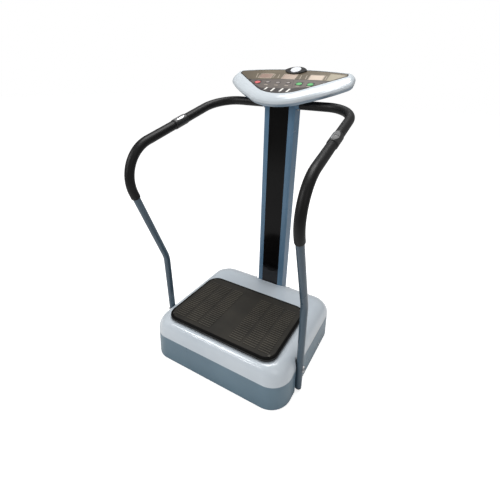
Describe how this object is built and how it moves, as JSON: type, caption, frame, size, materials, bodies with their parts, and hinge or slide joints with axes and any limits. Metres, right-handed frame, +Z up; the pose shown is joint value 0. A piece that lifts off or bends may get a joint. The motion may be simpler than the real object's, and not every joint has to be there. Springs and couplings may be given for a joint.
{
  "type": "vibration plate",
  "caption": "Free-standing oscillating vibration plate: rocking platform on a moulded base, column with tilted console, two bent handlebars with foam grips.",
  "frame": {"origin": "on the floor, under the middle of the whole machine's bounding box", "axes": "+Z up, +Y from the user's side towards the column, +X to the user's right"},
  "size_m": [0.7164, 0.6918, 1.2302],
  "materials": {
    "deck_plastic": "gloss",
    "skirt_plastic": "gloss",
    "frame_steel": "satin",
    "pan_steel": "satin",
    "tube_paint": "gloss",
    "strip_plastic": "gloss",
    "black_plastic": "satin",
    "mat_rubber": "matte",
    "foam": "satin",
    "foot_rubber": "matte",
    "bare_steel": "satin",
    "zinc_screws": "satin",
    "cast_metal": "matte",
    "alloy": "satin",
    "belt_rubber": "matte",
    "sensor_metal": "polished",
    "console_silver": "gloss",
    "console_blue": "gloss",
    "panel_film": "satin",
    "lens_plastic": "gloss",
    "button_red": "satin",
    "button_grey": "satin",
    "button_green": "satin",
    "board": "satin",
    "white_plastic": "gloss"
  },
  "bodies": {
    "machine": {"badge_base": "black_plastic", "badge_disc": "white_plastic", "base_frame": "frame_steel", "base_skirt": "skirt_plastic", "base_underpan": "pan_steel", "bracket_bolts": "zinc_screws", "column_bolts": "zinc_screws", "column_strip": "strip_plastic", "column_tube": "tube_paint", "console_board": "board", "console_body": "console_blue", "console_bracket": "frame_steel", "console_rim": "console_silver", "control_panel": "panel_film", "controller_board": "board", "cover_screws": "zinc_screws", "crank_bearings": "bare_steel", "deck_cover": "deck_plastic", "display_lenses": "lens_plastic", "display_modules": "board", "drive_belt": "belt_rubber", "foot_bolts": "zinc_screws", "foot_plugs": "black_plastic", "handlebar_socket": "tube_paint", "left_front_grip": "foam", "left_lower_handlebar": "tube_paint", "left_rear_grip": "foam", "left_upper_handlebar": "tube_paint", "motor_end_caps": "alloy", "motor_housing": "alloy", "motor_stator": "bare_steel", "pivot_shaft": "bare_steel", "power_entry": "black_plastic", "right_front_grip": "foam", "right_lower_handlebar": "tube_paint", "right_rear_grip": "foam", "right_upper_handlebar": "tube_paint", "rubber_feet": "foot_rubber", "sensor_clamps": "black_plastic", "sensor_plates": "sensor_metal", "sensor_tops": "black_plastic", "socket_screws": "zinc_screws"},
    "platform": {"platform_tray": "black_plastic", "rubber_mat": "mat_rubber", "mat_screws": "zinc_screws", "platform_frame": "frame_steel", "bearing_blocks": "cast_metal", "rod_pins": "bare_steel"},
    "rods": {"connecting_rods": "cast_metal"},
    "crank": {"crank_shaft": "bare_steel", "crank_pulley": "cast_metal"},
    "rotor": {"motor_armature": "bare_steel", "motor_pulley": "cast_metal"},
    "switch_rocker": {"power_switch": "black_plastic"},
    "red_button_body": {"red_button": "button_red"},
    "grey_button_left_body": {"grey_button_left": "button_grey"},
    "grey_button_middle_body": {"grey_button_middle": "button_grey"},
    "grey_button_right_body": {"grey_button_right": "button_grey"},
    "green_button_left_body": {"green_button_left": "button_green"},
    "green_button_right_body": {"green_button_right": "button_green"}
  },
  "joints": [
    {"name": "platform_rock", "type": "hinge", "parent": "machine", "child": "platform", "pos_m": [0, -0.10037, 0.15], "axis": [0, 1, 0], "range_deg": [-1.15, 1.15]},
    {"name": "rod_pivot", "type": "hinge", "parent": "platform", "child": "rods", "pos_m": [0.15, -0.10037, 0.17], "axis": [0, 1, 0], "range_deg": [-1.2, 1.2]},
    {"name": "crank_spin", "type": "hinge", "parent": "machine", "child": "crank", "pos_m": [0.15, -0.10037, 0.07], "axis": [0, 1, 0], "continuous": true},
    {"name": "rotor_spin", "type": "hinge", "parent": "machine", "child": "rotor", "pos_m": [-0.15, -0.03537, 0.09], "axis": [0, 1, 0], "continuous": true},
    {"name": "switch_tilt", "type": "hinge", "parent": "machine", "child": "switch_rocker", "pos_m": [0.215, 0.26319, 0.06], "axis": [1, 0, 0], "range_deg": [0, 12]},
    {"name": "red_button_press", "type": "slide", "parent": "machine", "child": "red_button_body", "axis": [0, 0.4446, -0.8957], "range_m": [0, 0.001], "stiffness_N_per_m": 300},
    {"name": "grey_button_left_press", "type": "slide", "parent": "machine", "child": "grey_button_left_body", "axis": [0, 0.4446, -0.8957], "range_m": [0, 0.001], "stiffness_N_per_m": 300},
    {"name": "grey_button_middle_press", "type": "slide", "parent": "machine", "child": "grey_button_middle_body", "axis": [0, 0.4446, -0.8957], "range_m": [0, 0.001], "stiffness_N_per_m": 300},
    {"name": "grey_button_right_press", "type": "slide", "parent": "machine", "child": "grey_button_right_body", "axis": [0, 0.4446, -0.8957], "range_m": [0, 0.001], "stiffness_N_per_m": 300},
    {"name": "green_button_left_press", "type": "slide", "parent": "machine", "child": "green_button_left_body", "axis": [0, 0.4446, -0.8957], "range_m": [0, 0.001], "stiffness_N_per_m": 300},
    {"name": "green_button_right_press", "type": "slide", "parent": "machine", "child": "green_button_right_body", "axis": [0, 0.4446, -0.8957], "range_m": [0, 0.001], "stiffness_N_per_m": 300}
  ],
  "couplings": [
    {"joint": "rod_pivot", "follows": "platform_rock", "ratio": -1},
    {"joint": "rotor_spin", "follows": "crank_spin", "ratio": 2.4038}
  ]
}
